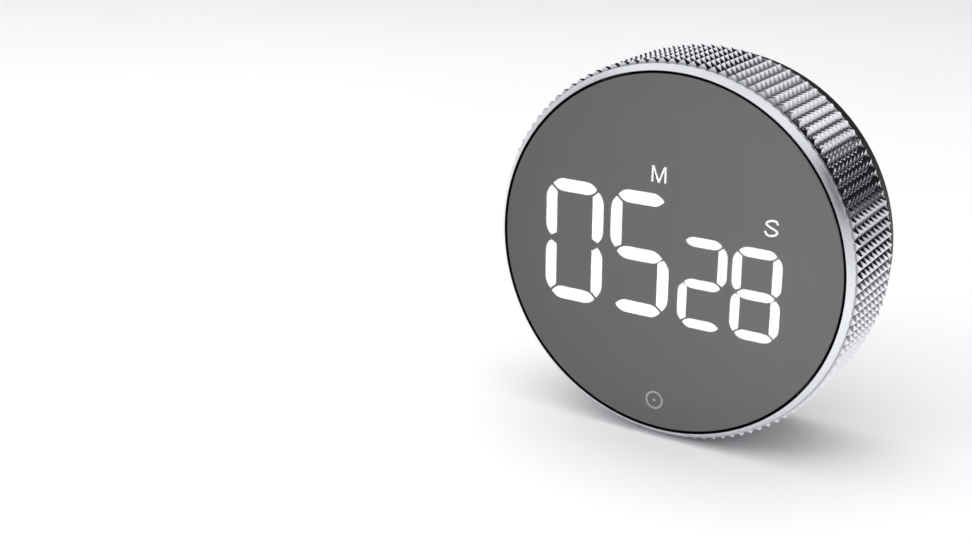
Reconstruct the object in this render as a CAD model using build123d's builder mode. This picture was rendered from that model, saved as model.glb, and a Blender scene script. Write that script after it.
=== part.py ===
"""Round twist-ring countdown timer with a magnetic back.

Frame: +Z up, the display faces -Y, and the timer stands on its knob ring with the floor at Z = 0.
The ring's axis is parallel to Y. Depths are counted backwards from the lens face, in millimetres.
"""

import os
from math import cos, pi, radians, sin, tan

from build123d import *

os.makedirs("parts", exist_ok=True)

# ---- driving dimensions -------------------------------------------------------------------------
crest_radius = 39.0  # over the knurl's crests
knurl_count = 114  # teeth round the ring
knurl_depth = 0.9
total_depth = 26.6  # lens face to back face
running_fit = 0.05  # radial clearance of a turning or sliding fit

lens_radius = 36.55
lens_thickness = 1.2
lens_chamfer = 0.25
adhesive_thickness = 0.2
press_travel = 0.4

sleeve_bore_radius = 36.9
lip_radius = 37.05
shoulder_radius = 38.15
lip_depth = 1.15
knurl_start = 2.05
knurl_end = 20.45
sleeve_end = 20.8
rear_rim_radius = 38.3

chassis_radius = 34.2
chassis_bore_radius = 32.7
flange_front = 4.4
flange_back = 5.6
flange_radius = 36.3
washer_thickness = 0.3
chassis_end = 21.05

carrier_front = 5.95
carrier_back = 20.5
bearing_width = 2.6
carrier_relief_radius = 35.6

display_radius = 30.3
display_front = 1.8
display_back = 5.9
diffuser_thickness = 0.8
board_radius = 32.0
board_front = 6.0
board_thickness = 1.2
board_back = board_front + board_thickness

gear_module = 0.8
ring_teeth = 88
pinion_teeth = 14
gear_front = 12.9
gear_back = 15.7
tooth_share = 0.4  # tooth thickness over tooth pitch, which leaves the backlash
pressure_angle = radians(20)
addendum = 0.7 * gear_module
ring_dedendum = 1.25 * gear_module
pinion_dedendum = gear_module

cover_radius = 37.0
cover_flange_radius = 38.1
cover_taper_radius = 37.2
cover_groove_radius = 36.5
cover_inner_radius = 35.6
plate_thickness = 1.4

door_width = 47.5
door_bottom = -15.7
door_top = 20.05
door_gap = 0.15
door_thickness = 1.3
cell_radius = 5.2
cell_length = 44.5
cell_pitch = 10.6
cell_nub_length = 0.9
bay_half_length = 23.4
bay_wall = 1.2
bay_floor = 13.5

pad_chord = 23.9
pad_radius = 35.8
pad_depth = 0.8
pad_corner = 1.2

# ---- derived places -----------------------------------------------------------------------------
axis_height = crest_radius * cos(pi / knurl_count)  # two crests touch the floor
front_y = -total_depth / 2
ring_axis = Axis((0, 0, axis_height), (0, 1, 0))
ring_pitch_radius = gear_module * ring_teeth / 2
pinion_pitch_radius = gear_module * pinion_teeth / 2
pinion_height = pinion_pitch_radius - ring_pitch_radius  # below the ring's axis
door_middle = (door_top + door_bottom) / 2
bay_middle = door_middle - 0.9  # leaves more room for the hooks than for the latch
bay_bottom = bay_middle - 1.5 * cell_pitch - 0.3
bay_top = bay_middle + 1.5 * cell_pitch + 0.3
cell_depth = bay_floor + 1.0 + 0.1 + cell_radius
plate_front = total_depth - plate_thickness
hook_depths = (plate_front - 1.2, plate_front - 0.2)
hook_notch_front = plate_front - 2.0
latch_depth = plate_front - 2.4
corner_angles = (45, 135, 225, 315)
post_places = [(14, 27), (-14, 27), (14, -27), (-14, -27)]


def face_at(depth):
    """A sketch plane across the ring's axis, with +X right and +Y up. Extrusions go to the front."""
    return Plane(origin=(0, front_y + depth, axis_height), x_dir=(1, 0, 0), z_dir=(0, -1, 0))


def slab(front, back):
    """The sketch plane at the back of a slab, and the slab's thickness towards the front."""
    return face_at(back), back - front


# A half section of a turned piece: local X is the radius, local Y the depth.
turning_plane = Plane(origin=(0, front_y, axis_height))


def turned(*outline):
    """A piece turned about the ring's axis from (radius, depth) points."""
    with BuildPart() as piece:
        with BuildSketch(turning_plane):
            with BuildLine():
                Polyline(*outline, close=True)
            make_face()
        revolve(axis=ring_axis)
    return piece


def block(x_range, z_range, depth_range, mode=Mode.ADD):
    """Adds a box to the part being built, given as ranges in X, height over the axis, and depth."""
    plane, thickness = slab(*depth_range)
    with BuildSketch(plane) as outline:
        with Locations((sum(x_range) / 2, sum(z_range) / 2)):
            Rectangle(x_range[1] - x_range[0], z_range[1] - z_range[0])
    extrude(outline.sketch, amount=thickness, mode=mode)


def rod(centre, radius, depth_range, mode=Mode.ADD):
    """Adds a round post along the ring's axis to the part being built."""
    plane, thickness = slab(*depth_range)
    with BuildSketch(plane) as outline:
        with Locations(centre):
            Circle(radius)
    extrude(outline.sketch, amount=thickness, mode=mode)


def write(piece, node):
    """Labels a finished piece and writes its STEP file."""
    piece.part.label = node
    export_step(piece.part, f"parts/{node}.step")


# ---- knob ring: knurled metal sleeve ------------------------------------------------------------
root_radius = crest_radius - knurl_depth
half_tooth = pi / knurl_count
knurl_outline = []
for tooth in range(knurl_count):
    root_angle = (2 * tooth) * half_tooth - pi / 2
    crest_angle = (2 * tooth + 1) * half_tooth - pi / 2
    knurl_outline.append((root_radius * cos(root_angle), root_radius * sin(root_angle)))
    knurl_outline.append((crest_radius * cos(crest_angle), crest_radius * sin(crest_angle)))

with BuildPart() as knurled_ring:
    with BuildSketch(turning_plane):
        with BuildLine():
            Polyline(
                (sleeve_bore_radius, 0),
                (lip_radius, 0),
                (shoulder_radius, lip_depth),
                (shoulder_radius, knurl_start),
                (root_radius - 0.3, knurl_start),
                (root_radius - 0.3, knurl_end),
                (rear_rim_radius, knurl_end),
                (rear_rim_radius, sleeve_end),
                (sleeve_bore_radius, sleeve_end),
                close=True,
            )
        make_face()
    revolve(axis=ring_axis)
    knurl_plane, knurl_width = slab(knurl_start, knurl_end)
    with BuildSketch(knurl_plane):
        with BuildLine():
            Polyline(*knurl_outline, close=True)
        make_face()
        Circle(root_radius - 0.3, mode=Mode.SUBTRACT)
    extrude(amount=knurl_width)
write(knurled_ring, "knurled_ring")


# ---- knob ring: gear carrier with the internal ring gear ----------------------------------------
def tooth_outline(root, tip, pitch_radius, widening):
    """A straight-flanked tooth along local X, from its root radius to its tip radius."""
    half_pitch_width = tooth_share * pi * gear_module / 2
    root_half = half_pitch_width + widening * (root - pitch_radius) * tan(pressure_angle)
    tip_half = half_pitch_width + widening * (tip - pitch_radius) * tan(pressure_angle)
    return [(root, -root_half), (tip, -tip_half), (tip, tip_half), (root, root_half)]


gear_root_radius = ring_pitch_radius + ring_dedendum
ring_tip_radius = ring_pitch_radius - addendum
ring_tooth = tooth_outline(gear_root_radius + 0.1, ring_tip_radius, ring_pitch_radius, 1)
bearing_radius = chassis_radius + running_fit

with BuildPart() as gear_carrier:
    with BuildSketch(turning_plane):
        with BuildLine():
            Polyline(
                (bearing_radius, carrier_front),
                (sleeve_bore_radius, carrier_front),
                (sleeve_bore_radius, carrier_back),
                (bearing_radius, carrier_back),
                (bearing_radius, carrier_back - bearing_width),
                (carrier_relief_radius, carrier_back - bearing_width),
                (carrier_relief_radius, gear_back),
                (gear_root_radius, gear_back),
                (gear_root_radius, gear_front),
                (carrier_relief_radius, gear_front),
                (carrier_relief_radius, carrier_front + bearing_width),
                (bearing_radius, carrier_front + bearing_width),
                close=True,
            )
        make_face()
    revolve(axis=ring_axis)
    gear_plane, gear_width = slab(gear_front, gear_back)
    with BuildSketch(gear_plane):
        with PolarLocations(0, ring_teeth, start_angle=180 / ring_teeth):
            Polygon(*ring_tooth, align=None)
    extrude(amount=gear_width)
write(gear_carrier, "gear_carrier")

# ---- lens panel ---------------------------------------------------------------------------------
icon_place = (-0.9, -30.7)
icon_radius = 1.95
icon_line = 0.4
icon_dot_radius = 0.3
icon_thickness = 0.06


def icon_sketch():
    """The ring and dot that mark where to press."""
    with BuildSketch(face_at(icon_thickness)) as sketch:
        with Locations(icon_place):
            Circle(icon_radius)
            Circle(icon_radius - icon_line, mode=Mode.SUBTRACT)
            Circle(icon_dot_radius)
    return sketch.sketch


with BuildPart() as press_icon:
    extrude(icon_sketch(), amount=icon_thickness)
write(press_icon, "press_icon")

with BuildPart() as front_lens:
    rod((0, 0), lens_radius, (0, lens_thickness))
    chamfer(front_lens.faces().sort_by(Axis.Y)[0].edges(), lens_chamfer)
    add(press_icon.part, mode=Mode.SUBTRACT)
write(front_lens, "front_lens")

lens_carrier_front = lens_thickness + adhesive_thickness
lens_carrier_back = lens_carrier_front + 1.1
lens_carrier_radius = 36.2
lens_carrier_bore = 31.0
leg_width = 4.0
leg_inner = 31.1
leg_outer = 32.3
hook_inner = 29.9
hook_front = board_back + 0.03
hook_back = hook_front + 0.7
press_height = -27.6
press_tab_width = 7.0
post_end = 4.0

lens_adhesive = turned(
    (lens_carrier_bore + 0.4, lens_thickness),
    (lens_carrier_radius - 0.3, lens_thickness),
    (lens_carrier_radius - 0.3, lens_carrier_front),
    (lens_carrier_bore + 0.4, lens_carrier_front),
)
write(lens_adhesive, "lens_adhesive")

with BuildPart() as lens_carrier:
    rod((0, 0), lens_carrier_radius, (lens_carrier_front, lens_carrier_back))
    rod((0, 0), lens_carrier_bore, (lens_carrier_front, lens_carrier_back), mode=Mode.SUBTRACT)
    block(
        (-press_tab_width / 2, press_tab_width / 2),
        (-lens_carrier_bore - 0.3, press_height + 2.0),
        (lens_carrier_front, lens_carrier_back),
    )
    rod((0, press_height), 1.4, (lens_carrier_back, post_end))
    for inner, front in ((leg_inner, lens_carrier_back), (hook_inner, hook_front)):
        leg_plane, leg_length = slab(front, hook_back)
        with BuildSketch(leg_plane):
            for angle in corner_angles:
                with Locations(Location((0, 0), angle)):
                    with Locations(((inner + leg_outer) / 2, 0)):
                        Rectangle(leg_outer - inner, leg_width)
        extrude(amount=leg_length)
write(lens_carrier, "lens_carrier")

# ---- display ------------------------------------------------------------------------------------
digit_height = 23.2  # between the middles of a large digit's top and bottom bars
small_scale = 0.73
small_width_scale = 0.77
large_digits = {"0": (-21.3, -0.85), "5": (-6.35, -0.85)}
small_digits = {"2": (7.5, -4.7), "8": (18.75, -4.7)}
lit_segments = {"0": "abcdef", "5": "acdfg", "2": "abdeg", "8": "abcdefg"}
led_size = (1.6, 0.8, 0.6)


def bar_shape(scale_x, scale_z):
    """A level segment: flat in the middle, with rounded sides that meet in a point at each end."""
    half_length, half_height, shoulder = 5.05 * scale_x, 1.35 * scale_z, 2.5 * scale_x
    with BuildSketch() as sketch:
        with BuildLine():
            Line((-shoulder, half_height), (shoulder, half_height))
            TangentArc((shoulder, half_height), (half_length, 0), tangent=(1, 0))
            TangentArc((-shoulder, half_height), (-half_length, 0), tangent=(-1, 0))
            mirror(about=Plane.XZ)
        make_face()
    return sketch.sketch


def side_shape(scale_x, scale_z):
    """An upright segment for the upper right: straight inside, bowed outside, mitred ends."""
    inner, tip, outer = 4.1 * scale_x, 5.4 * scale_x, 6.65 * scale_x
    low_tip, low_inner, low_outer = 0.5 * scale_z, 1.25 * scale_z, 3.1 * scale_z
    high_tip, high_inner, high_outer = 11.2 * scale_z, 10.1 * scale_z, 8.4 * scale_z
    with BuildSketch() as sketch:
        with BuildLine():
            Polyline((tip, low_tip), (inner, low_inner), (inner, high_inner), (tip, high_tip))
            TangentArc((outer, high_outer), (tip, high_tip), tangent=(0, 1))
            Line((outer, high_outer), (outer, low_outer))
            TangentArc((outer, low_outer), (tip, low_tip), tangent=(0, -1))
        make_face()
    return sketch.sketch


def digit_shapes(centre, scale_x, scale_z):
    """All seven segments of one digit, by their usual letters, on the plane of the drawing."""
    bar = bar_shape(scale_x, scale_z)
    side = side_shape(scale_x, scale_z)
    rise = digit_height / 2 * scale_z
    shapes = {
        "a": Pos(0, rise) * bar,
        "g": Pos(0, -0.2 * scale_z) * bar,
        "d": Pos(0, -rise) * bar,
        "b": side,
        "c": mirror(side, about=Plane.XZ, mode=Mode.PRIVATE),
        "f": mirror(side, about=Plane.YZ, mode=Mode.PRIVATE),
    }
    shapes["e"] = mirror(shapes["c"], about=Plane.YZ, mode=Mode.PRIVATE)
    return {letter: Pos(*centre) * shape for letter, shape in shapes.items()}


segments_on, segments_off, led_places = [], [], []
digit_groups = ((large_digits, 1, 1), (small_digits, small_width_scale, small_scale))
for group, scale_x, scale_z in digit_groups:
    for digit, centre in group.items():
        for letter, shape in digit_shapes(centre, scale_x, scale_z).items():
            middle = shape.bounding_box().center()
            led_places.append(((middle.X, middle.Y), 0 if letter in "adg" else 90))
            (segments_on if letter in lit_segments[digit] else segments_off).append(shape)


mark_half_width = 1.6
mark_half_height = 1.65
mark_stroke = 0.42


def minutes_mark():
    """The letter M: two upright strokes and a V between them."""
    with BuildSketch() as sketch:
        Rectangle(2 * mark_half_width, 2 * mark_half_height)
        for side in (-1, 1):
            inner = side * (mark_half_width - mark_stroke)
            inner_top = mark_half_height - 1.7 * mark_stroke
            Polygon(
                (inner, -mark_half_height),
                (side * mark_stroke / 2, -mark_half_height),
                (inner, inner_top),
                align=None,
                mode=Mode.SUBTRACT,
            )
        Polygon(
            (-mark_half_width + 1.35 * mark_stroke, mark_half_height),
            (mark_half_width - 1.35 * mark_stroke, mark_half_height),
            (0, -mark_half_height + 1.3 * mark_stroke),
            align=None,
            mode=Mode.SUBTRACT,
        )
    return sketch.sketch


def seconds_mark():
    """The letter S in one even stroke."""
    with BuildSketch() as sketch:
        with BuildLine():
            Spline((1.2, 0.8), (0.05, 1.5), (-1.1, 0.78), (0, 0.03), (1.2, -0.77), (0, -1.5), (-1.25, -0.72))
        trace(line_width=mark_stroke)
    return sketch.sketch


unit_mark_shapes = [Pos(-2.7, 16.1) * minutes_mark(), Pos(21.1, 9.2) * seconds_mark()]
notch_half_width = 5.2
notch_top = press_height + 3.2
board_screw_places = [(18, 21), (-18, 21), (15, -19), (-15, -19)]
screw_radius = 0.95
pilot_radius = 1.0

with BuildPart() as display_frame:
    rod((0, 0), display_radius, (display_front, display_back))
    block(
        (-notch_half_width, notch_half_width),
        (-display_radius - 1, notch_top),
        (display_front, display_back),
        mode=Mode.SUBTRACT,
    )
    window_plane, window_depth = slab(display_front, display_back)
    with BuildSketch(window_plane):
        add(segments_on + segments_off)
        add(unit_mark_shapes)
    extrude(amount=window_depth, mode=Mode.SUBTRACT)
    for place in board_screw_places:
        rod(place, pilot_radius, (display_front + 1.0, display_back), mode=Mode.SUBTRACT)
write(display_frame, "display_frame")

diffuser_plane = face_at(display_front + diffuser_thickness)
with BuildPart() as lit_diffusers:
    with BuildSketch(diffuser_plane):
        add(segments_on)
    extrude(amount=diffuser_thickness)
write(lit_diffusers, "lit_segments")

with BuildPart() as dark_diffusers:
    with BuildSketch(diffuser_plane):
        add(segments_off)
    extrude(amount=diffuser_thickness)
write(dark_diffusers, "dark_segments")

with BuildPart() as unit_marks:
    with BuildSketch(diffuser_plane):
        add(unit_mark_shapes)
    extrude(amount=diffuser_thickness)
write(unit_marks, "unit_marks")

# ---- main board and what is soldered to it ------------------------------------------------------
riser_x = (-28.7, -27.9)
lead_places = [(-22.7, -12.4), (22.7, 16.6)]

with BuildPart() as main_board:
    rod((0, 0), board_radius, (board_front, board_back))
    with BuildSketch(face_at(board_back)):
        for angle in corner_angles:
            with Locations(Location((0, 0), angle)):
                with Locations((31.75, 0)):
                    Rectangle(2.5, leg_width + 1.0)
        with Locations(*board_screw_places):
            Circle(pilot_radius)
    extrude(amount=board_thickness, mode=Mode.SUBTRACT)
write(main_board, "main_board")

with BuildPart() as segment_leds:
    led_plane, led_height = slab(board_front - led_size[2], board_front)
    with BuildSketch(led_plane):
        for place, turn in led_places:
            with Locations(Location((*place, 0), turn)):
                Rectangle(led_size[0], led_size[1])
    extrude(amount=led_height)
write(segment_leds, "segment_leds")

with BuildPart() as controller_chip:
    block((7, 17), (-9, 1), (board_back, board_back + 1.4))
    chamfer(controller_chip.faces().sort_by(Axis.Y)[-1].edges(), 0.3)
write(controller_chip, "controller_chip")

buzzer_place = (7, -16.5)
with BuildPart() as buzzer:
    rod(buzzer_place, 6.0, (board_back, board_back + 5.4))
    rod(buzzer_place, 1.0, (board_back + 3.0, board_back + 5.4), mode=Mode.SUBTRACT)
write(buzzer, "buzzer")

with BuildPart() as storage_capacitor:
    rod((13, 6), 2.5, (board_back, board_back + 5.4))
    fillet(storage_capacitor.faces().sort_by(Axis.Y)[-1].edges(), 0.4)
write(storage_capacitor, "storage_capacitor")

plunger_radius = 1.1
with BuildPart() as press_switch:
    block((-2.3, 2.3), (press_height - 2.3, press_height + 2.3), (4.5, board_front))
    rod((0, press_height), plunger_radius + running_fit, (4.5, 5.8), mode=Mode.SUBTRACT)
write(press_switch, "press_switch_body")

with BuildPart() as press_plunger:
    rod((0, press_height), plunger_radius, (post_end + 0.02, 5.3))
write(press_plunger, "press_switch_plunger")

# ---- rotary encoder -----------------------------------------------------------------------------
encoder_back = board_back + 5.0
encoder_shaft_radius = 1.5
shaft_bore_depth = 2.2
pinion_root_radius = pinion_pitch_radius - pinion_dedendum
pinion_tip_radius = pinion_pitch_radius + addendum
pinion_tooth = tooth_outline(pinion_root_radius - 0.1, pinion_tip_radius, pinion_pitch_radius, -1)

with BuildPart() as encoder_body:
    block((-5.5, 5.5), (pinion_height - 1.8, pinion_height + 6.2), (board_back, encoder_back))
    rod(
        (0, pinion_height),
        encoder_shaft_radius + running_fit,
        (encoder_back - shaft_bore_depth, encoder_back),
        mode=Mode.SUBTRACT,
    )
write(encoder_body, "encoder_body")

with BuildPart() as encoder_shaft:
    shaft_front = encoder_back - shaft_bore_depth + 0.2
    rod((0, pinion_height), encoder_shaft_radius, (shaft_front, gear_back + 0.6))
write(encoder_shaft, "encoder_shaft")

with BuildPart() as encoder_pinion:
    with BuildSketch(gear_plane):
        with Locations((0, pinion_height)):
            Circle(pinion_root_radius)
            with PolarLocations(0, pinion_teeth, start_angle=90):
                Polygon(*pinion_tooth, align=None)
            Circle(encoder_shaft_radius, mode=Mode.SUBTRACT)
    extrude(amount=gear_width)
write(encoder_pinion, "encoder_pinion")

# ---- chassis ------------------------------------------------------------------------------------
ledge_bore = 30.6
ledge_front = 5.0
chassis_post_radius = 2.5
post_front = 7.6
post_back = chassis_end + 0.3

with BuildPart() as chassis:
    with BuildSketch(turning_plane):
        with BuildLine():
            Polyline(
                (chassis_bore_radius, flange_front),
                (flange_radius, flange_front),
                (flange_radius, flange_back),
                (chassis_radius, flange_back),
                (chassis_radius, chassis_end),
                (chassis_bore_radius, chassis_end),
                (chassis_bore_radius, board_front),
                (ledge_bore, board_front),
                (ledge_bore, ledge_front),
                (chassis_bore_radius, ledge_front),
                close=True,
            )
        make_face()
    revolve(axis=ring_axis)
    for place in post_places:
        rod(place, chassis_post_radius, (post_front, chassis_end))
    for place in post_places:
        rod(place, pilot_radius, (post_front + 4, chassis_end), mode=Mode.SUBTRACT)
    with BuildSketch(face_at(board_front)):
        for angle in corner_angles:
            with Locations(Location((0, 0), angle)):
                with Locations((31.6, 0)):
                    Rectangle(2.1, leg_width + 1.0)
    extrude(amount=board_front - ledge_front, mode=Mode.SUBTRACT)
    block((-7.6, 7.6), (-35, -28), (gear_front - 0.5, gear_back + 0.5), mode=Mode.SUBTRACT)
write(chassis, "chassis")

front_washer = turned(
    (chassis_radius + 0.1, flange_back),
    (flange_radius, flange_back),
    (flange_radius, flange_back + washer_thickness),
    (chassis_radius + 0.1, flange_back + washer_thickness),
)
write(front_washer, "front_glide_washer")

rear_washer_front = carrier_back + 0.15
rear_washer = turned(
    (chassis_radius + 0.1, rear_washer_front),
    (sleeve_bore_radius - 0.2, rear_washer_front),
    (sleeve_bore_radius - 0.2, chassis_end),
    (chassis_radius + 0.1, chassis_end),
)
write(rear_washer, "rear_glide_washer")

# ---- rear cover ---------------------------------------------------------------------------------
scoop_centre_x = 0.3
scoop_radius = 8.1
scoop_rise = 0.8  # the scoop's centre stands this far above the door's lower edge
scoop_deep, scoop_shallow = 3.0, 1.3
hook_places = (-14, 14)
hook_half = 2.5
tongue_half = 4.0
pocket_x = (-34.2, -26.8)
pocket_z = (-4.8, 5.0)
pocket_depth = 2.0
pocket_back = total_depth - pocket_depth - 1.0  # inner side of the pocket's floor
switch_x = (pocket_x[0] + pocket_x[1]) / 2
stem_half = 1.4
slide_travel = 2.7
knob_z = (-4.6, 2.0)
stem_z = sum(knob_z) / 2
magnet_height = 28.4
magnet_sizes = {1: (16.0, 6.0, 2.0), -1: (18.0, 7.0, 3.0)}  # the heavy one is below the axis
screw_head_radius = 1.9
screw_seat = plate_front - 1.0
magnet_back = total_depth - pad_depth - 0.05


def pad_sketch(radius, chord, corner, plane):
    """The D-shaped outline over the upper magnet: a circle cut by a level chord."""
    with BuildSketch(plane) as sketch:
        Circle(radius)
        with Locations((0, chord + radius / 2)):
            Rectangle(2 * radius, radius, mode=Mode.INTERSECT)
        fillet(sketch.vertices(), corner)
    return sketch.sketch


def scoop_solid():
    """What the finger scoop takes away: a half-round pocket, deepest against the door's edge."""
    low = door_bottom - (scoop_radius - scoop_rise)
    slope = Vector(0, door_bottom - low, scoop_deep - scoop_shallow)
    floor_origin = (0, front_y + total_depth - scoop_deep, axis_height + door_bottom)
    with BuildPart() as scoop:
        rod((scoop_centre_x, door_bottom + scoop_rise), scoop_radius, (total_depth - 4, total_depth + 0.1))
        block(
            (-12, 12),
            (door_bottom, door_bottom + 12),
            (total_depth - 5, total_depth + 1),
            mode=Mode.SUBTRACT,
        )
        split(bisect_by=Plane(origin=floor_origin, z_dir=slope.normalized()), keep=Keep.TOP)
    return scoop.part


def magnet_block(side, margin, depth_range, mode=Mode.ADD):
    """Adds a block over a magnet's outline, grown by a margin, to the part being built."""
    width, height, _ = magnet_sizes[side]
    middle = side * magnet_height
    x_range = (-width / 2 - margin, width / 2 + margin)
    block(x_range, (middle - height / 2 - margin, middle + height / 2 + margin), depth_range, mode)


scoop_void = scoop_solid()

rear_cover_shell = turned(
    (chassis_bore_radius, chassis_end),
    (cover_flange_radius, chassis_end),
    (cover_flange_radius, chassis_end + 1.15),
    (cover_taper_radius, chassis_end + 1.9),
    (cover_groove_radius, chassis_end + 1.9),
    (cover_groove_radius, chassis_end + 2.25),
    (cover_radius, chassis_end + 2.25),
    (cover_radius, total_depth - 0.25),
    (cover_radius - 0.25, total_depth),
    (0, total_depth),
    (0, plate_front),
    (cover_inner_radius, plate_front),
    (cover_inner_radius, chassis_end + 1.8),
    (chassis_bore_radius, chassis_end + 1.8),
)

with BuildPart() as rear_cover:
    add(rear_cover_shell.part)
    # battery bay: walls, ledge under the door, floor
    block(
        (-bay_half_length - bay_wall, bay_half_length + bay_wall),
        (bay_bottom - bay_wall, bay_top + bay_wall),
        (bay_floor, plate_front),
    )
    block(
        (-door_width / 2 - 1.2, door_width / 2 + 1.2),
        (door_bottom - 1.2, door_top + 1.2),
        (plate_front - 1.2, plate_front),
    )
    # backing of the scoop, the slider pocket and the magnets
    block(
        (scoop_centre_x - 9.3, scoop_centre_x + 9.3),
        (-24.6, door_bottom),
        (total_depth - scoop_deep - 1.4, plate_front),
    )
    block(
        (pocket_x[0] - 0.5, pocket_x[1] + 0.6),
        (pocket_z[0] - 0.7, pocket_z[1] + 0.7),
        (pocket_back, plate_front),
    )
    for side in magnet_sizes:
        magnet_block(side, 1.2, (magnet_back - magnet_sizes[side][2] - 1.0, plate_front))
    for place in post_places:
        rod(place, 2.4, (post_back, plate_front))
    # openings
    block(
        (-bay_half_length, bay_half_length),
        (bay_bottom, bay_top),
        (bay_floor + 1.0, plate_front),
        mode=Mode.SUBTRACT,
    )
    block(
        (-door_width / 2, door_width / 2),
        (door_bottom, door_top),
        (plate_front, total_depth),
        mode=Mode.SUBTRACT,
    )
    for centre in hook_places:
        block(
            (centre - hook_half - 0.3, centre + hook_half + 0.3),
            (bay_top - 0.1, door_top + 2),
            (hook_notch_front, plate_front),
            mode=Mode.SUBTRACT,
        )
    block(
        (scoop_centre_x - tongue_half - 0.6, scoop_centre_x + tongue_half + 0.6),
        (door_bottom - 0.1, bay_bottom + 0.2),
        (latch_depth - 0.4, plate_front),
        mode=Mode.SUBTRACT,
    )
    add(scoop_void, mode=Mode.SUBTRACT)
    with BuildSketch(face_at(total_depth)):
        with Locations(Location((scoop_centre_x, -21.0), 90)):
            SlotOverall(2.9, 1.9)
    extrude(amount=scoop_deep + 2, mode=Mode.SUBTRACT)
    block(pocket_x, pocket_z, (total_depth - pocket_depth, total_depth), mode=Mode.SUBTRACT)
    block(
        (switch_x - stem_half - 0.3, switch_x + stem_half + 0.3),
        (stem_z - stem_half - 0.3, stem_z + stem_half + slide_travel + 0.3),
        (pocket_back, total_depth - pocket_depth),
        mode=Mode.SUBTRACT,
    )
    upper_recess = pad_sketch(pad_radius, pad_chord, pad_corner, face_at(total_depth))
    extrude(upper_recess, amount=pad_depth, mode=Mode.SUBTRACT)
    extrude(upper_recess.rotate(ring_axis, 180), amount=pad_depth, mode=Mode.SUBTRACT)
    for side in magnet_sizes:
        pocket_front = magnet_back - magnet_sizes[side][2]
        magnet_block(side, 0.1, (pocket_front, total_depth - pad_depth), mode=Mode.SUBTRACT)
    for place in post_places:
        rod(place, pilot_radius + 0.1, (post_back, total_depth - pad_depth), mode=Mode.SUBTRACT)
        rod(place, screw_head_radius + 0.1, (screw_seat, total_depth - pad_depth), mode=Mode.SUBTRACT)
    for place in lead_places:
        rod(place, 0.8, (bay_floor, bay_floor + 1.0), mode=Mode.SUBTRACT)
write(rear_cover, "rear_cover")

for node, turn in (("upper_magnet_pad", 0), ("lower_magnet_pad", 180)):
    pad_face = pad_sketch(pad_radius - door_gap, pad_chord + door_gap, pad_corner, face_at(total_depth))
    with BuildPart() as magnet_pad:
        extrude(pad_face.rotate(ring_axis, turn), amount=pad_depth)
    write(magnet_pad, node)

for node, side in (("upper_magnet", 1), ("lower_magnet", -1)):
    with BuildPart() as magnet:
        magnet_block(side, 0, (magnet_back - magnet_sizes[side][2], magnet_back))
    write(magnet, node)


def screws(places, head_front, head_height, head_radius, tip_front):
    """A group of cross-head screws driven in from the back."""
    with BuildPart() as group:
        for place in places:
            rod(place, screw_radius, (tip_front, head_front))
            rod(place, head_radius, (head_front, head_front + head_height))
            x, z = place
            slot_depths = (head_front + head_height - 0.6, head_front + head_height)
            block((x - 1.0, x + 1.0), (z - 0.2, z + 0.2), slot_depths, mode=Mode.SUBTRACT)
            block((x - 0.2, x + 0.2), (z - 1.0, z + 1.0), slot_depths, mode=Mode.SUBTRACT)
    return group


write(screws(post_places, screw_seat, 1.3, screw_head_radius, 13.0), "cover_screws")
write(screws(board_screw_places, board_back, 1.1, 1.7, display_front + 1.2), "board_screws")

# ---- batteries and contacts ---------------------------------------------------------------------
plate_gap = 0.3
cell_heights = [bay_middle + step * cell_pitch for step in (1, 0, -1)]
cell_y = front_y + cell_depth
plus_sides = (1, -1, 1)
inner_plate_x = bay_half_length - plate_gap

for number, (height, plus) in enumerate(zip(cell_heights, plus_sides), start=1):
    negative_end = plus * (inner_plate_x - cell_length)
    can_end = (negative_end, cell_y, axis_height + height)
    can_plane = Plane(origin=can_end, x_dir=(0, 1, 0), z_dir=(plus, 0, 0))
    with BuildPart() as battery_cell:
        with BuildSketch(can_plane):
            Circle(cell_radius)
        extrude(amount=cell_length - cell_nub_length)
        fillet(battery_cell.edges(), 0.35)
        with BuildSketch(can_plane.offset(cell_length - cell_nub_length)):
            Circle(1.9)
        extrude(amount=cell_nub_length)
    write(battery_cell, f"battery_cell_{number}")

plate_depths = (cell_depth - 4.2, cell_depth + 4.2)
with BuildPart() as battery_contacts:
    for side, lowest, highest in ((1, 0, 0), (1, 2, 1), (-1, 1, 0), (-1, 2, 2)):
        x_range = sorted((side * bay_half_length, side * inner_plate_x))
        block(x_range, (cell_heights[lowest] - 4.0, cell_heights[highest] + 4.0), plate_depths)
write(battery_contacts, "battery_contacts")

with BuildPart() as battery_springs:
    for height, plus in zip(cell_heights, plus_sides):
        start = Vector(-plus * inner_plate_x, cell_y, axis_height + height)
        spring_length = 2 * inner_plate_x - cell_length
        with BuildSketch(Plane(origin=start, x_dir=(0, 1, 0), z_dir=(plus, 0, 0))):
            Circle(3.4)
            Circle(1.6, mode=Mode.SUBTRACT)
        extrude(amount=spring_length, taper=18)
write(battery_springs, "battery_springs")

with BuildPart() as battery_leads:
    for place in lead_places:
        rod(place, 0.45, (board_back, plate_depths[0]))
write(battery_leads, "battery_leads")

# ---- battery door -------------------------------------------------------------------------------
door_front = total_depth - door_thickness
slot_length = 34.5
slot_height = 1.3
slot_z = -13.1
slot_middle = 1.85
peg_hole_x = -17.5

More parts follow.
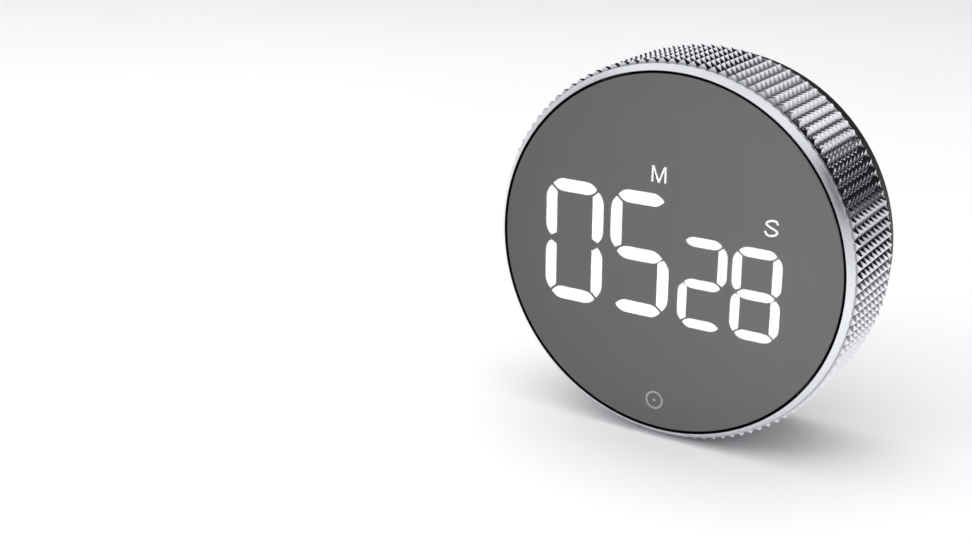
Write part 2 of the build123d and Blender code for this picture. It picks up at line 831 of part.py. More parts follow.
with BuildPart() as battery_door:
    block(
        (-door_width / 2 + door_gap, door_width / 2 - door_gap),
        (door_bottom + door_gap, door_top - door_gap),
        (door_front, total_depth),
    )
    for centre in hook_places:
        hook_x = (centre - hook_half, centre + hook_half)
        block(hook_x, (bay_top + 0.1, door_top - door_gap), (hook_depths[0], door_front))
        block(hook_x, (bay_top + 0.1, door_top + 1.6), hook_depths)
    block(
        (scoop_centre_x - tongue_half, scoop_centre_x + tongue_half),
        (door_bottom + 0.35, door_bottom + 1.35),
        (latch_depth, door_front),
    )
    with BuildSketch(face_at(total_depth)):
        with Locations((slot_middle, slot_z)):
            SlotOverall(slot_length, slot_height)
        with Locations((peg_hole_x, slot_z)):
            Circle(0.95)
    extrude(amount=door_thickness, mode=Mode.SUBTRACT)
write(battery_door, "battery_door")

# ---- volume switch ------------------------------------------------------------------------------
lever_half = 0.7
lever_depths = (total_depth - 6.4, total_depth - 2.8)
switch_body_depths = (total_depth - 8.8, total_depth - 4.8)
stem_front = total_depth - 4.2
knob_depths = (total_depth - 1.8, total_depth - 0.4)

with BuildPart() as riser_board:
    block(riser_x, (-5.5, 5.5), (board_back, switch_body_depths[1]))
write(riser_board, "riser_board")

with BuildPart() as volume_switch_body:
    block((switch_x - 1.8, riser_x[0]), (-4.0, 4.0), switch_body_depths)
    block(
        (switch_x - 0.95, switch_x + 0.95),
        (stem_z - lever_half - 0.3, stem_z + lever_half + slide_travel + 0.3),
        (lever_depths[0] - 0.3, switch_body_depths[1]),
        mode=Mode.SUBTRACT,
    )
write(volume_switch_body, "volume_switch_body")

lever_x = (switch_x - lever_half, switch_x + lever_half)
lever_z = (stem_z - lever_half, stem_z + lever_half)
with BuildPart() as volume_lever:
    block(lever_x, lever_z, lever_depths)
write(volume_lever, "volume_lever")

with BuildPart() as volume_knob:
    block((pocket_x[0] + 0.25, pocket_x[1] - 0.25), knob_z, knob_depths)
    chamfer(volume_knob.faces().sort_by(Axis.Y)[-1].edges(), 0.3)
    block(
        (pocket_x[0] + 1.2, pocket_x[1] - 1.2),
        (knob_z[0] + 1.2, knob_z[1] - 1.2),
        (knob_depths[1] - 0.5, knob_depths[1]),
        mode=Mode.SUBTRACT,
    )
    block(
        (switch_x - stem_half, switch_x + stem_half),
        (stem_z - stem_half, stem_z + stem_half),
        (stem_front, knob_depths[0]),
    )
    block(lever_x, lever_z, (stem_front, lever_depths[1]), mode=Mode.SUBTRACT)
write(volume_knob, "volume_knob")
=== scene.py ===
"""Looks of the twist-ring kitchen timer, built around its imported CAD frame.

Lengths in the helpers are millimetres, as in the CAD source; meshes are written in metres.
"""

from math import cos, pi, radians, sin, sqrt

import bmesh
import bpy
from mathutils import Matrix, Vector


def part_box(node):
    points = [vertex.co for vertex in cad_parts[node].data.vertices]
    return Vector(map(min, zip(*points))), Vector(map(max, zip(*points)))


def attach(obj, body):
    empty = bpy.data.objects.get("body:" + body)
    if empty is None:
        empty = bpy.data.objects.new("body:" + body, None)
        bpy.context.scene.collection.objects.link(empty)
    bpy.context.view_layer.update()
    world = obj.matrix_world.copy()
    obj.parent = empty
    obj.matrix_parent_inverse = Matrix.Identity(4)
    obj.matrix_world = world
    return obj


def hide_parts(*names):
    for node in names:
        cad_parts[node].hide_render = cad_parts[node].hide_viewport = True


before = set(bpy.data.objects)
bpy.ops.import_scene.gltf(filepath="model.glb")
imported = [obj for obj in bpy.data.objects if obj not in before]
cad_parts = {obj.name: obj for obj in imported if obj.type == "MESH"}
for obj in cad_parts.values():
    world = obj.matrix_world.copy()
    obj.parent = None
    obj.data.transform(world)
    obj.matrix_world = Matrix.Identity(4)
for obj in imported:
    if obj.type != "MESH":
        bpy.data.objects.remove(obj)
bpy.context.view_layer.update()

MM = 0.001

# ---- places read from the frame -----------------------------------------------------------------
ring_low, ring_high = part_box("knurled_ring")
lens_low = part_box("front_lens")[0]
FRONT_Y = lens_low.y
AXIS_Z = (ring_low.z + ring_high.z) / 2

# ---- sizes of the ring and the lens, as in the CAD source ---------------------------------------
CREST_RADIUS = 39.0
KNURL_COUNT = 114
KNURL_DEPTH = 0.9
KNURL_START = 2.05
KNURL_END = 20.45
SLEEVE_END = 20.8
BORE_RADIUS = 36.9
LIP_RADIUS = 37.05
LIP_DEPTH = 1.15
SHOULDER_RADIUS = 38.15
REAR_RIM_RADIUS = 38.3
LENS_RADIUS = 36.55

# ---- sizes of the ring's mesh, finer than the CAD -----------------------------------------------
KNURL_ROWS = 9
FLAT_TOP = 0.10  # half width of the tiny flat on each pyramid
FRONT_LEAN = 0.36  # how far the first row's crests stand behind its roots
CREST_CLEARANCE = 0.01  # keeps the crests inside the CAD ring
KNURL_CLEARANCE = 0.01  # between the turned bands and the knurl's first and last roots
SHOULDER_CHAMFER = 0.04
RIM_CHAMFER = 0.06
BEZEL_ROUNDING = 0.09
CORNER_STEPS = 3

# ---- light --------------------------------------------------------------------------------------
LENS_OPACITY = 0.84
LIT_SEGMENT_GLOW = 36.0  # high, as the lens lets little through
UNIT_MARK_GLOW = 34.0
BACKDROP_STRENGTH = 0.85
BEVEL_SAMPLES = 4

# The colour sockets of a Mix node go by number, as their names are shared with other sockets.
MIX_A, MIX_B, MIX_RESULT = 6, 7, 2


# =================================================================================================
# Materials
# =================================================================================================
class Tree:
    """Small helpers to wire a node tree."""

    def __init__(self, tree):
        self.nodes = tree.nodes
        self.links = tree.links

    def node(self, kind, inputs=None, **settings):
        """A new node with its settings, then its input values."""
        made = self.nodes.new(kind)
        for key, value in settings.items():
            setattr(made, key, value)
        for key, value in (inputs or {}).items():
            made.inputs[key].default_value = value
        return made

    def link(self, out_socket, in_socket):
        self.links.new(out_socket, in_socket)

    def ramp(self, factor, stops):
        """A colour ramp from (position, colour) stops."""
        ramp = self.node("ShaderNodeValToRGB")
        elements = ramp.color_ramp.elements
        while len(elements) < len(stops):
            elements.new(0.5)
        for element, (position, colour) in zip(elements, stops):
            element.position = position
            element.color = (*colour, 1.0)
        self.link(factor, ramp.inputs["Fac"])
        return ramp.outputs["Color"]

    def span(self, factor, low, high):
        """Maps a 0 to 1 factor to low to high."""
        mapped = self.node("ShaderNodeMapRange", {"To Min": low, "To Max": high})
        self.link(factor, mapped.inputs["Value"])
        return mapped.outputs["Result"]

    def reach(self, value, start, end):
        """0 before start, 1 past end, and a straight slope between."""
        mapped = self.node("ShaderNodeMapRange", {"From Min": start, "From Max": end})
        self.link(value, mapped.inputs["Value"])
        return mapped.outputs["Result"]

    def blend(self, factor, base, colour):
        """Mixes from a colour socket to a plain colour by a factor."""
        mix = self.node("ShaderNodeMix", {MIX_B: (*colour, 1.0)}, data_type="RGBA")
        self.link(factor, mix.inputs["Factor"])
        self.link(base, mix.inputs[MIX_A])
        return mix.outputs[MIX_RESULT]


class Shader(Tree):
    """A node material with one Principled BSDF."""

    def __init__(self, name, **values):
        self.material = bpy.data.materials.new(name)
        self.material.use_nodes = True
        super().__init__(self.material.node_tree)
        self.bsdf = self.nodes["Principled BSDF"]
        for socket, value in values.items():
            if isinstance(value, tuple):
                value = (*value, 1.0)
            self.bsdf.inputs[socket.replace("_", " ")].default_value = value

    def coords(self, scale=(1.0, 1.0, 1.0), location=(0, 0, 0), rotation=(0, 0, 0)):
        """Object coordinates, in the row frame, scaled, then turned, then moved."""
        source = self.node("ShaderNodeTexCoord")
        mapping = self.node(
            "ShaderNodeMapping", {"Location": location, "Rotation": rotation, "Scale": scale}
        )
        self.link(source.outputs["Object"], mapping.inputs["Vector"])
        return mapping.outputs["Vector"]

    def noise(self, scale, detail=2.0, roughness=0.5, stretch=(1.0, 1.0, 1.0)):
        """Noise from 0 to 1, drawn out along an axis where stretch is below 1."""
        noise = self.node(
            "ShaderNodeTexNoise", {"Scale": scale, "Detail": detail, "Roughness": roughness}
        )
        self.link(self.coords(stretch), noise.inputs["Vector"])
        return noise.outputs["Fac"]

    def axis_radius(self):
        """Distance from the ring's axis, in metres."""
        length = self.node("ShaderNodeVectorMath", operation="LENGTH")
        self.link(self.coords(scale=(1, 0, 1), location=(0, 0, -AXIS_Z)), length.inputs[0])
        return length.outputs["Value"]

    def bump(self, height, strength, distance, edge_radius=0.0):
        """Bump from a height, over normals rounded at the edges if a radius is given."""
        bump = self.node("ShaderNodeBump", {"Strength": strength, "Distance": distance})
        self.link(height, bump.inputs["Height"])
        if edge_radius:
            bevel = self.node("ShaderNodeBevel", {"Radius": edge_radius}, samples=BEVEL_SAMPLES)
            self.link(bevel.outputs["Normal"], bump.inputs["Normal"])
        self.link(bump.outputs["Normal"], self.bsdf.inputs["Normal"])

    def colour_from(self, factor, low, high):
        """Colours the middle half of a factor's range from low to high."""
        self.link(self.ramp(factor, ((0.25, low), (0.75, high))), self.bsdf.inputs["Base Color"])

    def roughness_from(self, factor, low, high):
        """Roughness from low to high over a 0 to 1 factor."""
        self.link(self.span(factor, low, high), self.bsdf.inputs["Roughness"])


def shades(colour, share):
    """A darker and a lighter version of a colour, each by a share of it."""
    darker = tuple(c * (1 - share) for c in colour)
    lighter = tuple(min(1.0, c * (1 + share)) for c in colour)
    return darker, lighter


def plastic(name, colour, roughness, grain=0.04, edge=0.12, scale=2200, vary=0.18, specular=0.5):
    """Moulded plastic: spark-eroded grain, faint colour drift, slightly softened edges."""
    shader = Shader(name, Specular_IOR_Level=specular)
    shader.colour_from(shader.noise(scale=120, detail=3.0), *shades(colour, vary))
    shader.roughness_from(shader.noise(scale=60), roughness - 0.05, roughness + 0.06)
    height = shader.noise(scale, detail=3.0, roughness=0.6)
    shader.bump(height, strength=0.35, distance=grain * MM, edge_radius=edge * MM)
    return shader.material


def metal(name, colour, roughness, stretch=(1.0, 1.0, 1.0)):
    """Bare or plated metal with fine tool marks, and slightly softened edges."""
    shader = Shader(name, Metallic=1.0)
    marks = shader.noise(scale=900, detail=4.0, roughness=0.6, stretch=stretch)
    shader.colour_from(marks, *shades(colour, share=0.06))
    shader.roughness_from(shader.noise(scale=70), roughness * 0.8, roughness * 1.25)
    shader.bump(marks, strength=0.25, distance=0.01 * MM, edge_radius=0.06 * MM)
    return shader.material


def ring_metal():
    """Satin plated metal of the bezel and the rear rim, with handling marks and a cool tint."""
    shader = Shader("ring_metal_polished", Metallic=1.0)
    drift = shader.noise(scale=45, detail=3.0)
    shader.colour_from(drift, low=(0.74, 0.76, 0.80), high=(0.83, 0.84, 0.87))
    shader.roughness_from(shader.noise(scale=380, detail=3.0, roughness=0.6), low=0.24, high=0.32)
    marks = shader.noise(scale=1500)
    shader.bump(marks, strength=0.12, distance=0.004 * MM, edge_radius=0.07 * MM)
    return shader.material


def knurl_metal():
    """The cut pyramids: painted highlight towards the crests, painted shade towards the roots."""
    shader = Shader("knurl_metal_cut", Metallic=1.0)
    root, full_highlight_radius = CREST_RADIUS - KNURL_DEPTH, CREST_RADIUS - 0.15
    height = shader.reach(shader.axis_radius(), root * MM, full_highlight_radius * MM)
    # The root colour is painted shade and the crest colour a painted highlight, set by distance
    # from the axis.
    root_painted_shade, flank, crest = (0.26, 0.27, 0.29), (0.66, 0.67, 0.70), (0.90, 0.91, 0.94)
    shade = shader.ramp(height, ((0.0, root_painted_shade), (0.5, flank), (1.0, crest)))
    shader.link(shade, shader.bsdf.inputs["Base Color"])
    shader.roughness_from(shader.noise(scale=380, detail=3.0, roughness=0.6), low=0.06, high=0.12)
    shader.bump(shader.noise(scale=1500), strength=0.08, distance=0.003 * MM)
    return shader.material


def lens_glass():
    """Smoke grey lens: lit numerals show through, and a painted sheen lightens it from -X to +X.

    A narrow band at its rim is black and opaque, as painted shade of the gap round the lens.
    """
    shader = Shader("lens_smoked", IOR=1.5)
    split = shader.node("ShaderNodeSeparateXYZ")
    shader.link(shader.coords(), split.inputs["Vector"])
    across = shader.reach(split.outputs["X"], -LENS_RADIUS * MM, LENS_RADIUS * MM)
    # The lighter +X end of this ramp is a painted sheen over the smoke grey.
    tint = shader.ramp(across, ((0.0, (0.090, 0.090, 0.092)), (1.0, (0.138, 0.138, 0.140))))
    # The black rim band is painted shade of the gap between lens and sleeve.
    border_start, border_full = LENS_RADIUS - 0.16, LENS_RADIUS - 0.10
    border = shader.reach(shader.axis_radius(), border_start * MM, border_full * MM)
    lens_colour_with_painted_rim_shade = shader.blend(border, tint, colour=(0.003, 0.003, 0.003))
    shader.link(lens_colour_with_painted_rim_shade, shader.bsdf.inputs["Base Color"])
    shader.link(shader.span(border, LENS_OPACITY, 1.0), shader.bsdf.inputs["Alpha"])
    shader.roughness_from(shader.noise(scale=700), low=0.035, high=0.07)
    return shader.material


def lit(name, strength):
    """A translucent diffuser lit from behind, with a faintly uneven glow."""
    shader = Shader(name, Base_Color=(0.85, 0.85, 0.85), Roughness=0.6, Emission_Strength=strength)
    unevenness = shader.noise(scale=300, detail=1.0)
    glow = shader.ramp(unevenness, ((0.2, (0.94, 0.94, 0.94)), (0.8, (1.0, 1.0, 1.0))))
    shader.link(glow, shader.bsdf.inputs["Emission Color"])
    return shader.material


def circuit_board():
    """Green solder mask over faint copper tracks."""
    shader = Shader("circuit_board", Roughness=0.35)
    tracks = shader.node(
        "ShaderNodeTexBrick",
        {
            "Scale": 260,
            "Mortar Size": 0.035,
            "Color1": (0.012, 0.11, 0.05, 1),
            "Color2": (0.010, 0.09, 0.04, 1),
            "Mortar": (0.03, 0.19, 0.08, 1),
        },
        offset=0.5,
        squash=0.6,
    )
    shader.link(shader.coords(rotation=(radians(90), 0, 0)), tracks.inputs["Vector"])
    shader.link(tracks.outputs["Color"], shader.bsdf.inputs["Base Color"])
    shader.bump(tracks.outputs["Fac"], strength=0.3, distance=0.03 * MM)
    return shader.material


def cell_jacket():
    """A battery's jacket: plain, dark and glossy."""
    shader = Shader("cell_jacket", Roughness=0.28, Coat_Weight=0.4)
    drift = shader.noise(scale=400, stretch=(0.1, 1, 1))
    shader.colour_from(drift, low=(0.020, 0.022, 0.026), high=(0.032, 0.034, 0.040))
    shader.bump(shader.noise(scale=900), strength=0.1, distance=0.01 * MM)
    return shader.material


def floor_material():
    """A pale, faintly satin studio floor."""
    shader = Shader("studio_floor", Specular_IOR_Level=0.25)
    shader.colour_from(shader.noise(scale=3), low=(0.77, 0.77, 0.78), high=(0.81, 0.81, 0.82))
    shader.roughness_from(shader.noise(scale=40), low=0.42, high=0.5)
    return shader.material


# ---- colour, then roughness, of each plastic and metal ------------------------------------------
BLACK_COVER = plastic("cover_plastic", (0.0052, 0.0050, 0.0055), 0.34, grain=0.03, specular=0.22)
BLACK_DOOR = plastic("door_plastic", (0.0048, 0.0046, 0.0051), 0.36, grain=0.03, specular=0.20)
BLACK_PAD = plastic("pad_plastic", (0.0046, 0.0044, 0.0049), 0.33, grain=0.02, specular=0.20)
BLACK_INNER = plastic("inner_plastic", (0.030, 0.030, 0.033), 0.5)
BLACK_DISPLAY = plastic("display_black", (0.004, 0.004, 0.004), 0.7, grain=0.02)
NATURAL_NYLON = plastic("gear_plastic", (0.72, 0.69, 0.60), 0.45, vary=0.05)
COMPONENT_BLACK = plastic("component_black", (0.022, 0.022, 0.023), 0.5)
NICKEL = metal("contact_plating", (0.70, 0.69, 0.66), 0.28)
STEEL = metal("switch_metal", (0.56, 0.56, 0.57), 0.33, stretch=(1, 1, 0.1))
SCREW_STEEL = metal("screw_steel", (0.42, 0.43, 0.45), 0.35)
RING_METAL = ring_metal()
KNURL_METAL = knurl_metal()
# Black on the sleeve's bore and thin front land: painted shade of the gap round the lens.
BORE_PAINTED_SHADE = plastic("bore_painted_shade", (0.004, 0.004, 0.004), 0.6, grain=0.01, edge=0)

NODE_MATERIALS = {
    "front_lens": lens_glass(),
    "press_icon": plastic("icon_print", (0.30, 0.30, 0.30), 0.5, vary=0.04, edge=0),
    "lens_adhesive": plastic("adhesive_foam", (0.012, 0.012, 0.012), 0.8, scale=5000),
    "lens_carrier": BLACK_INNER,
    "chassis": BLACK_INNER,
    "display_frame": BLACK_DISPLAY,
    "lit_segments": lit("lit_diffuser", LIT_SEGMENT_GLOW),
    "dark_segments": plastic("unlit_diffuser", (0.010, 0.010, 0.011), 0.6, edge=0),
    "unit_marks": lit("unit_mark_glow", UNIT_MARK_GLOW),
    "segment_leds": plastic("led_package", (0.75, 0.72, 0.50), 0.25, vary=0.05),
    "main_board": circuit_board(),
    "riser_board": circuit_board(),
    "controller_chip": COMPONENT_BLACK,
    "buzzer": COMPONENT_BLACK,
    "press_switch_plunger": COMPONENT_BLACK,
    "volume_lever": COMPONENT_BLACK,
    "storage_capacitor": metal("capacitor_can", (0.70, 0.70, 0.72), 0.3),
    "press_switch_body": STEEL,
    "encoder_body": STEEL,
    "encoder_shaft": STEEL,
    "volume_switch_body": STEEL,
    "gear_carrier": NATURAL_NYLON,
    "encoder_pinion": NATURAL_NYLON,
    "front_glide_washer": plastic("glide_film", (0.80, 0.80, 0.77), 0.2, vary=0.03),
    "rear_glide_washer": plastic("glide_film_rear", (0.80, 0.80, 0.77), 0.2, vary=0.03),
    "upper_magnet": metal("magnet_plating", (0.66, 0.66, 0.67), 0.2),
    "lower_magnet": metal("magnet_plating_lower", (0.66, 0.66, 0.67), 0.2),
    "upper_magnet_pad": BLACK_PAD,
    "lower_magnet_pad": BLACK_PAD,
    "battery_contacts": NICKEL,
    "battery_leads": plastic("lead_insulation", (0.30, 0.02, 0.02), 0.45),
    "cover_screws": SCREW_STEEL,
    "board_screws": SCREW_STEEL,
    "rear_cover": BLACK_COVER,
    "battery_door": BLACK_DOOR,
    "volume_knob": plastic(
        "slider_plastic", (0.011, 0.011, 0.012), 0.34, grain=0.03, specular=0.3
    ),
}
for node, material in NODE_MATERIALS.items():
    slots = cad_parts[node].data.materials
    slots.clear()
    slots.append(material)


# =================================================================================================
# Mesh helpers
# =================================================================================================
def on_ring(radius, depth, angle):
    """A point at a radius and angle on the ring's axis, a depth behind the lens, in metres."""
    return Vector(
        (radius * cos(angle) * MM, FRONT_Y + depth * MM, AXIS_Z + radius * sin(angle) * MM)
    )


def finish_mesh(bm, name, materials, sharp_angle=radians(32)):
    """Writes a bmesh to a new object with smooth faces, split at edges sharper than the angle."""
    bmesh.ops.recalc_face_normals(bm, faces=bm.faces)
    for face in bm.faces:
        face.smooth = True
    for edge in bm.edges:
        edge.smooth = len(edge.link_faces) == 2 and edge.calc_face_angle() < sharp_angle
    mesh = bpy.data.meshes.new(name)
    bm.to_mesh(mesh)
    bm.free()
    for material in materials:
        mesh.materials.append(material)
    piece = bpy.data.objects.new(name, mesh)
    bpy.context.scene.collection.objects.link(piece)
    return piece


def rounded(outline, radius, steps):
    """A closed (radius, depth) outline with each corner turned into an arc of steps + 1 points."""
    points = []
    count = len(outline)
    for i in range(count):
        before, here, after = (Vector(outline[(i + k) % count]) for k in (-1, 0, 1))
        into, out = (before - here), (after - here)
        reach = min(radius, into.length * 0.45, out.length * 0.45)
        start, end = here + into.normalized() * reach, here + out.normalized() * reach
        for k in range(steps + 1):
            t = k / steps
            points.append(tuple((1 - t) ** 2 * start + 2 * t * (1 - t) * here + t * t * end))
    return points


def bridge(bm, ring_a, ring_b, material=0):
    """Quads between two rings of the same number of vertices."""
    count = len(ring_a)
    for i in range(count):
        j = (i + 1) % count
        face = bm.faces.new((ring_a[i], ring_a[j], ring_b[j], ring_b[i]))
        face.material_index = material


# =================================================================================================
# Knurled ring
# =================================================================================================
SLEEVE_MATERIALS = [RING_METAL, BORE_PAINTED_SHADE, KNURL_METAL]
TURNED_SLOT, BORE_SLOT, KNURL_SLOT = range(3)


def build_ring():
    """The metal sleeve: turned bezel, rows of cut pyramids, plain rear rim and bore."""
    bm = bmesh.new()
    segments = 2 * KNURL_COUNT  # a root and a crest to each tooth
    step = 2 * pi / segments
    bottom = -pi / 2

    def circle(radius, depth):
        return [bm.verts.new(on_ring(radius, depth, bottom + i * step)) for i in range(segments)]

    root = CREST_RADIUS - KNURL_DEPTH
    pitch = (KNURL_END - KNURL_START) / KNURL_ROWS
    knurl_rings = [circle(root, KNURL_START + row * pitch) for row in range(KNURL_ROWS + 1)]
    top_radius = sqrt((CREST_RADIUS - CREST_CLEARANCE) ** 2 - FLAT_TOP**2)
    half_angle = FLAT_TOP / top_radius
    for row in range(KNURL_ROWS):
        near, far = knurl_rings[row], knurl_rings[row + 1]
        middle_depth = KNURL_START + (row + 0.5) * pitch
        flat_near = KNURL_START + FRONT_LEAN if row == 0 else middle_depth - FLAT_TOP
        flat_far = middle_depth + FLAT_TOP
        for tooth in range(KNURL_COUNT):
            a, m, b = 2 * tooth, 2 * tooth + 1, (2 * tooth + 2) % segments
            crest = bottom + m * step
            top = [
                bm.verts.new(on_ring(top_radius, depth, crest + turn * half_angle))
                for depth, turn in ((flat_near, -1), (flat_near, 1), (flat_far, 1), (flat_far, -1))
            ]
            for corners in (
                top,
                (near[a], near[m], near[b], top[1], top[0]),
                (far[b], far[m], far[a], top[3], top[2]),
                (near[b], far[b], top[2], top[1]),
                (far[a], near[a], top[0], top[3]),
            ):
                bm.faces.new(corners).material_index = KNURL_SLOT

    bezel = rounded(
        [
            (BORE_RADIUS, 0.0),
            (LIP_RADIUS, 0.0),
            (SHOULDER_RADIUS, LIP_DEPTH),
            (SHOULDER_RADIUS, KNURL_START),
        ],
        BEZEL_ROUNDING,
        CORNER_STEPS,
    )
    arc = CORNER_STEPS + 1
    front_outline = [
        (BORE_RADIUS, 0.0),
        *bezel[arc : 3 * arc],  # the arcs at the lip and at the shoulder
        (SHOULDER_RADIUS, KNURL_START - SHOULDER_CHAMFER),
        (SHOULDER_RADIUS - SHOULDER_CHAMFER + KNURL_CLEARANCE, KNURL_START - KNURL_CLEARANCE),
    ]
    back_outline = [
        (REAR_RIM_RADIUS - RIM_CHAMFER + KNURL_CLEARANCE, KNURL_END + KNURL_CLEARANCE),
        (REAR_RIM_RADIUS, KNURL_END + RIM_CHAMFER),
        (REAR_RIM_RADIUS, SLEEVE_END - RIM_CHAMFER),
        (REAR_RIM_RADIUS - RIM_CHAMFER, SLEEVE_END),
        (BORE_RADIUS, SLEEVE_END),
    ]
    front_rings = [circle(*point) for point in front_outline]
    back_rings = [circle(*point) for point in back_outline]
    loop = front_rings + [knurl_rings[0], knurl_rings[-1]] + back_rings
    for i, ring in enumerate(loop):
        following = loop[(i + 1) % len(loop)]
        in_bore = i in (0, len(loop) - 1)
        if ring is not knurl_rings[0]:  # the pyramids fill that span
            bridge(bm, ring, following, BORE_SLOT if in_bore else TURNED_SLOT)
    return finish_mesh(bm, "knurled_sleeve", SLEEVE_MATERIALS, sharp_angle=radians(30))


sleeve = build_ring()
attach(sleeve, "knob_ring")
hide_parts("knurled_ring")

# =================================================================================================
# Battery cells and springs
# =================================================================================================
CELL_MATERIALS = [
    metal("cell_end_metal", (0.62, 0.62, 0.63), 0.25),
    cell_jacket(),
    metal("cell_band", (0.62, 0.42, 0.24), 0.25, stretch=(0.1, 1, 1)),
]
END_SLOT, JACKET_SLOT, BAND_SLOT = range(3)
CELL_SEGMENTS = 64


def lathe_along_x(name, outline, centre, direction, materials, bands):
    """A closed turned body along X, from an (x, radius) outline that starts and ends on the axis.

    bands gives a material index to each span of the outline.
    """
    bm = bmesh.new()
    angles = [2 * pi * i / CELL_SEGMENTS for i in range(CELL_SEGMENTS)]
    rings = []
    for x, radius in outline:
        if radius == 0:
            rings.append([bm.verts.new(centre + Vector((direction * x * MM, 0, 0)))])
            continue
        spots = [Vector((direction * x, radius * cos(a), radius * sin(a))) for a in angles]
        rings.append([bm.verts.new(centre + spot * MM) for spot in spots])
    for near, far, band in zip(rings, rings[1:], bands):
        if len(near) == 1 or len(far) == 1:
            tip, ring = (near[0], far) if len(near) == 1 else (far[0], near)
            for i in range(CELL_SEGMENTS):
                face = bm.faces.new((tip, ring[i], ring[(i + 1) % CELL_SEGMENTS]))
                face.material_index = band
        else:
            bridge(bm, near, far, band)
    return finish_mesh(bm, name, materials, sharp_angle=radians(40))


def build_cell(node, plus):
    """One AAA cell: wrapped can, rolled jacket edges, crimped ends and a raised plus terminal."""
    low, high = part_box(node)
    centre = (low + high) / 2
    half = (high.x - low.x) / MM / 2
    radius = (high.y - low.y) / MM / 2
    body = half - 0.9  # the terminal stands this much proud of the body
    outline = [
        # minus end: dished middle, flat ring, crimp
        (-half + 0.18, 0.0),
        (-half + 0.10, 3.0),
        (-half, 3.5),
        (-half, radius - 1.0),
        (-half + 0.12, radius - 0.55),
        (-half + 0.12, radius - 0.42),
        # jacket from its rolled edge, then the coloured band to the other rolled edge
        (-half + 0.02, radius - 0.38),
        (-half + 0.10, radius - 0.10),
        (-half + 0.40, radius),
        (body - 9.0, radius),
        (body - 0.38, radius),
        (body - 0.08, radius - 0.12),
        (body, radius - 0.40),
        # plus end: seal, then the raised terminal
        (body - 0.12, radius - 0.5),
        (body - 0.12, radius - 1.4),
        (body - 0.45, radius - 1.7),
        (body - 0.45, 2.25),
        (body - 0.10, 1.95),
        (half - 0.25, 1.85),
        (half - 0.04, 1.6),
        (half, 1.2),
        (half, 0.0),
    ]
    bands = [END_SLOT] * 6 + [JACKET_SLOT] * 3 + [BAND_SLOT] * 4 + [END_SLOT] * 8
    name = node.replace("battery_", "aaa_")
    return lathe_along_x(name, outline, centre, plus, CELL_MATERIALS, bands)


PLUS_SIDES = {"battery_cell_1": 1, "battery_cell_2": -1, "battery_cell_3": 1}
for node, plus in PLUS_SIDES.items():
    cell = build_cell(node, plus)
    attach(cell, "housing")
    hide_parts(node)


def build_springs():
    """Conical coil springs at each cell's negative end, one wound wire each."""
    bm = bmesh.new()
    wire, turns, per_turn, around = 0.28, 3.5, 28, 8
    base_radius, taper = 3.05, 1.35
    count = int(turns * per_turn)
    axis = Vector((1, 0, 0))
    spring_low, spring_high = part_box("battery_springs")
    for node, plus in PLUS_SIDES.items():
        low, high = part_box(node)
        plate_x = (spring_low.x if plus > 0 else spring_high.x) / MM
        cell_x = (low.x if plus > 0 else high.x) / MM
        length = abs(cell_x - plate_x) - 2 * wire
        y, z = (low.y + high.y) / 2 / MM, (low.z + high.z) / 2 / MM
        rings = []
        for i in range(count + 1):
            t = i / count
            angle = 2 * pi * turns * t
            radius = base_radius - taper * t
            along = wire + length * t
            centre = Vector(
                (plate_x + plus * along, y + radius * cos(angle), z + radius * sin(angle))
            )
            outward = Vector((0, cos(angle), sin(angle)))
            ring = []
            for k in range(around):
                turn = 2 * pi * k / around
                offset = wire * (cos(turn) * outward + sin(turn) * axis)
                ring.append(bm.verts.new((centre + offset) * MM))
            rings.append(ring)
        for near, far in zip(rings, rings[1:]):
            bridge(bm, near, far)
        bm.faces.new(rings[0])
        bm.faces.new(rings[-1])
    return finish_mesh(bm, "contact_coils", [NICKEL], sharp_angle=radians(60))


coils = build_springs()
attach(coils, "housing")
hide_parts("battery_springs")

# =================================================================================================
# Stage, light and camera
# =================================================================================================
FLOOR_RADII = (0.001, 0.2, 0.6, 1.5, 4.0)  # in metres
FLOOR_SEGMENTS = 64

bm = bmesh.new()
floor_angles = [2 * pi * i / FLOOR_SEGMENTS for i in range(FLOOR_SEGMENTS)]
floor_rings = [
    [bm.verts.new((radius * cos(a), radius * sin(a), 0.0)) for a in floor_angles]
    for radius in FLOOR_RADII
]
for near, far in zip(floor_rings, floor_rings[1:]):
    bridge(bm, near, far)
bm.faces.new(floor_rings[0])
floor = finish_mesh(bm, "studio_floor", [floor_material()])


def area_light(name, place, side, power):
    """A square softbox aimed at the timer's middle; mirrors don't show it."""
    data = bpy.data.lights.new(name, "AREA")
    data.shape = "RECTANGLE"
    data.size = data.size_y = side
    data.energy = power
    light = bpy.data.objects.new(name, data)
    bpy.context.scene.collection.objects.link(light)
    light.location = place
    light.visible_glossy = False
    light.rotation_mode = "QUATERNION"
    aim = Vector((0, 0, AXIS_Z)) - Vector(place)
    light.rotation_quaternion = aim.to_track_quat("-Z", "Y")


area_light("overhead_softbox", place=(-0.10, -0.05, 0.75), side=1.1, power=5.4)
area_light("front_fill", place=(-0.55, -0.75, 0.50), side=0.5, power=2.5)


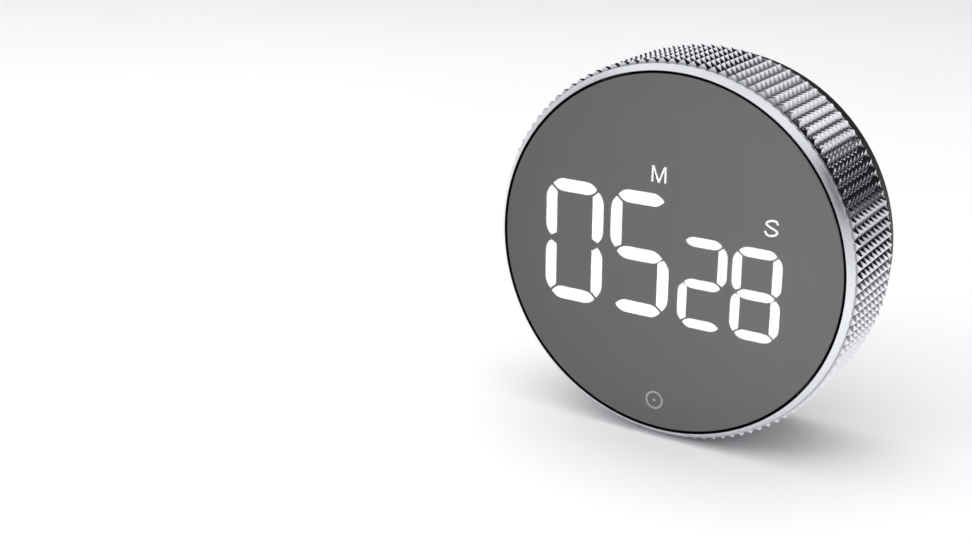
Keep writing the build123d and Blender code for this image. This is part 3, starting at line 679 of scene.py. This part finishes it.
def build_world():
    """A plain white backdrop, and for mirrors a pale studio with dark cards round the timer.

    The stops are over the X, Y or Z of a direction's unit vector.
    """
    world = bpy.data.worlds.new("studio")
    bpy.context.scene.world = world
    world.use_nodes = True
    world.node_tree.nodes.clear()
    studio = Tree(world.node_tree)
    output = studio.node("ShaderNodeOutputWorld")
    coords = studio.node("ShaderNodeTexCoord")
    split = studio.node("ShaderNodeSeparateXYZ")
    studio.link(coords.outputs["Generated"], split.inputs["Vector"])

    def grey_ramp(axis, stops):
        """Faintly cool greys from (position, value) stops."""
        cool = [((at + 1) / 2, (value, value, value * 1.02)) for at, value in stops]
        return studio.ramp(studio.reach(split.outputs[axis], -1, 1), cool)

    def combine(operation, first, second):
        made = studio.node("ShaderNodeMath", operation=operation)
        studio.link(first, made.inputs[0])
        studio.link(second, made.inputs[1])
        return made.outputs["Value"]

    def dark_card(**stops):
        """How much of a dark card a direction meets: 0 is none, 1 is the card itself."""
        cover = None
        for axis, axis_stops in stops.items():
            part = grey_ramp(axis, axis_stops)
            cover = combine("MULTIPLY", cover, part) if cover else part
        return cover

    sky = grey_ramp("Z", ((-0.05, 0.90), (0.10, 0.75), (0.55, 0.80), (0.75, 1.05), (1.0, 0.90)))
    front_card = dark_card(
        X=((-0.20, 0.0), (0.05, 1.0)),
        Y=((-0.75, 1.0), (-0.55, 0.0)),
        Z=((-0.12, 0.0), (-0.06, 1.0), (0.34, 1.0), (0.46, 0.0)),
    )
    back_card = dark_card(
        Y=((0.35, 0.0), (0.60, 1.0)),
        Z=((-0.06, 0.0), (-0.02, 0.5), (0.22, 0.6), (0.30, 1.0), (0.48, 1.0), (0.62, 0.0)),
    )
    side_cards = dark_card(
        X=((-0.74, 1.0), (-0.58, 0.0), (0.58, 0.0), (0.74, 1.0)),
        Y=((-0.52, 0.0), (-0.40, 1.0), (-0.14, 1.0), (-0.04, 0.0)),
        Z=((0.14, 0.0), (0.22, 1.0), (0.56, 1.0), (0.64, 0.0)),
    )
    cards = combine("MAXIMUM", combine("MAXIMUM", front_card, back_card), side_cards)
    mirrored = studio.node("ShaderNodeBackground", {"Strength": 1.0})
    shaded = studio.blend(cards, sky, colour=(0.012, 0.012, 0.014))
    studio.link(shaded, mirrored.inputs["Color"])
    backdrop = studio.node(
        "ShaderNodeBackground",
        {"Color": (0.93, 0.93, 0.935, 1), "Strength": BACKDROP_STRENGTH},
    )
    path = studio.node("ShaderNodeLightPath")
    mix = studio.node("ShaderNodeMixShader")
    studio.link(path.outputs["Is Glossy Ray"], mix.inputs["Fac"])
    studio.link(backdrop.outputs["Background"], mix.inputs[1])
    studio.link(mirrored.outputs["Background"], mix.inputs[2])
    studio.link(mix.outputs["Shader"], output.inputs["Surface"])


build_world()
bpy.context.scene.view_settings.view_transform = "Standard"

# Camera: a slightly long lens, looking down at the timer from its front right. Its place is in
# ring radii, as the photo's perspective was fitted.
DISC_RADIUS = 0.039
CAMERA_TURN = radians(32.9)
CAMERA_PITCH = radians(19.3)
ACROSS, AHEAD, HEIGHT = 0.896, 7.019, 3.387

camera_data = bpy.data.cameras.new("camera")
camera_data.lens = 54.58
camera_data.sensor_width = 36.0
camera_data.clip_start, camera_data.clip_end = 0.01, 12.0
camera = bpy.data.objects.new("camera", camera_data)
bpy.context.scene.collection.objects.link(camera)
bpy.context.scene.camera = camera
sin_turn, cos_turn = sin(CAMERA_TURN), cos(CAMERA_TURN)
camera.location = (
    (-ACROSS * cos_turn + AHEAD * sin_turn) * DISC_RADIUS,
    FRONT_Y + (-ACROSS * sin_turn - AHEAD * cos_turn) * DISC_RADIUS,
    HEIGHT * DISC_RADIUS,
)
forward = Vector(
    (-sin_turn * cos(CAMERA_PITCH), cos_turn * cos(CAMERA_PITCH), -sin(CAMERA_PITCH))
)
camera.rotation_mode = "QUATERNION"
camera.rotation_quaternion = forward.to_track_quat("-Z", "Y")
